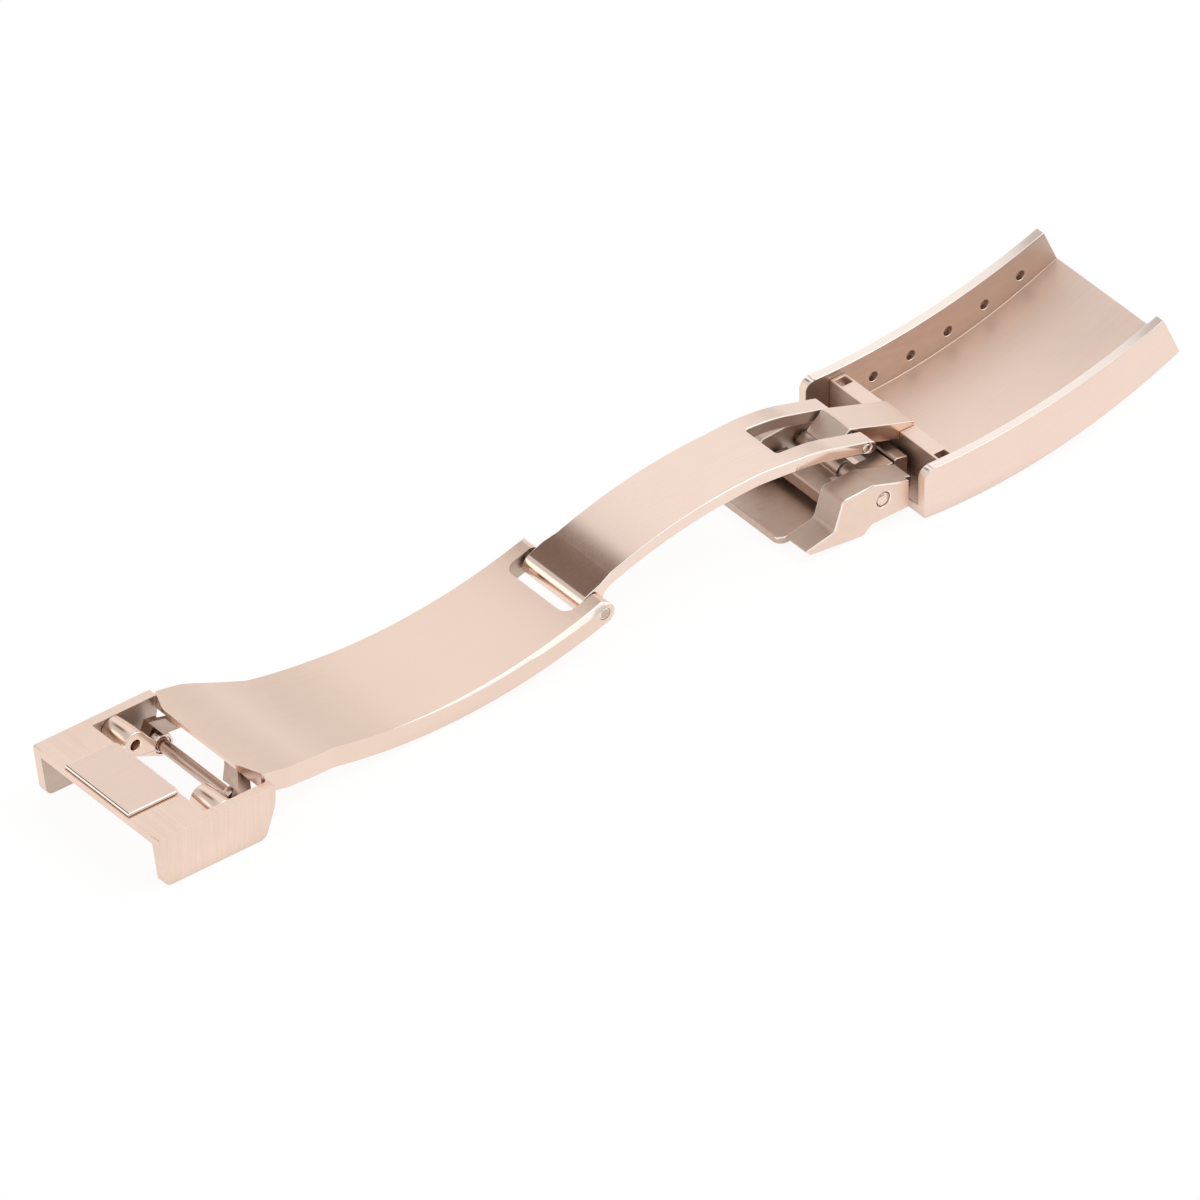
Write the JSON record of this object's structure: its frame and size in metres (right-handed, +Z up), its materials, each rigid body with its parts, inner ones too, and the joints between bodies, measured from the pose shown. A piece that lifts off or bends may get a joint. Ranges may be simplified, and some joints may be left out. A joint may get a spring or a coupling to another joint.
{
  "type": "watch clasp",
  "caption": "Fold-over watch clasp laid open: a curved channel cover with spring bar holes, folding blades, an end connector and a safety catch.",
  "frame": {"origin": "middle of the opened clasp, on the surface that it lies on", "axes": "+X along the clasp from the end connector to the cover, +Y across it, +Z up, with the wrist side on top"},
  "size_m": [0.1166, 0.018, 0.0096],
  "materials": {
    "satin": "brushed rose gold on steel",
    "polished": "polished rose gold on steel",
    "inner": "fine satin rose gold on steel",
    "pins": "ground pin ends"
  },
  "bodies": {
    "cover": {"cover": "satin", "hinge_bridge": "satin", "hinge_tongue": "polished", "near_hinge_lug": "inner", "far_hinge_lug": "inner", "catch_hinge_block": "inner"},
    "narrow_blade": {"narrow_blade": "polished", "cover_pin": "pins"},
    "wide_blade": {"wide_blade": "satin", "blade_pin": "pins", "near_rod_knuckle": "inner", "far_rod_knuckle": "inner"},
    "end_connector": {"end_cap": "polished", "centre_panel": "polished", "near_ear": "satin", "far_ear": "satin", "end_rod": "polished"},
    "safety_catch": {"catch_plate": "inner", "near_cheek": "satin", "far_cheek": "satin", "catch_shaft": "polished"},
    "latch_lever": {"latch_lever": "inner"}
  },
  "joints": [
    {"name": "cover_hinge", "type": "hinge", "parent": "cover", "child": "narrow_blade", "pos_m": [0.026, 0, 0.00654], "axis": [0, 1, 0], "range_deg": [0, 176]},
    {"name": "blade_hinge", "type": "hinge", "parent": "narrow_blade", "child": "wide_blade", "pos_m": [-0.0057, 0, 0.00415], "axis": [0, 1, 0], "range_deg": [-178, 0]},
    {"name": "end_hinge", "type": "hinge", "parent": "wide_blade", "child": "end_connector", "pos_m": [-0.047, 0, 0.0026], "axis": [0, 1, 0], "range_deg": [-60, 20]},
    {"name": "catch_hinge", "type": "hinge", "parent": "cover", "child": "safety_catch", "pos_m": [0.0253, 0, 0.00305], "axis": [0, 1, 0], "range_deg": [-95, 40]},
    {"name": "lever_hinge", "type": "hinge", "parent": "safety_catch", "child": "latch_lever", "pos_m": [0.0253, 0, 0.00305], "axis": [0, 1, 0], "range_deg": [0, 12], "stiffness_Nm_per_rad": 0.01, "springref_deg": -5.73}
  ],
  "couplings": [
    {"joint": "blade_hinge", "follows": "cover_hinge", "ratio": -1.01}
  ]
}
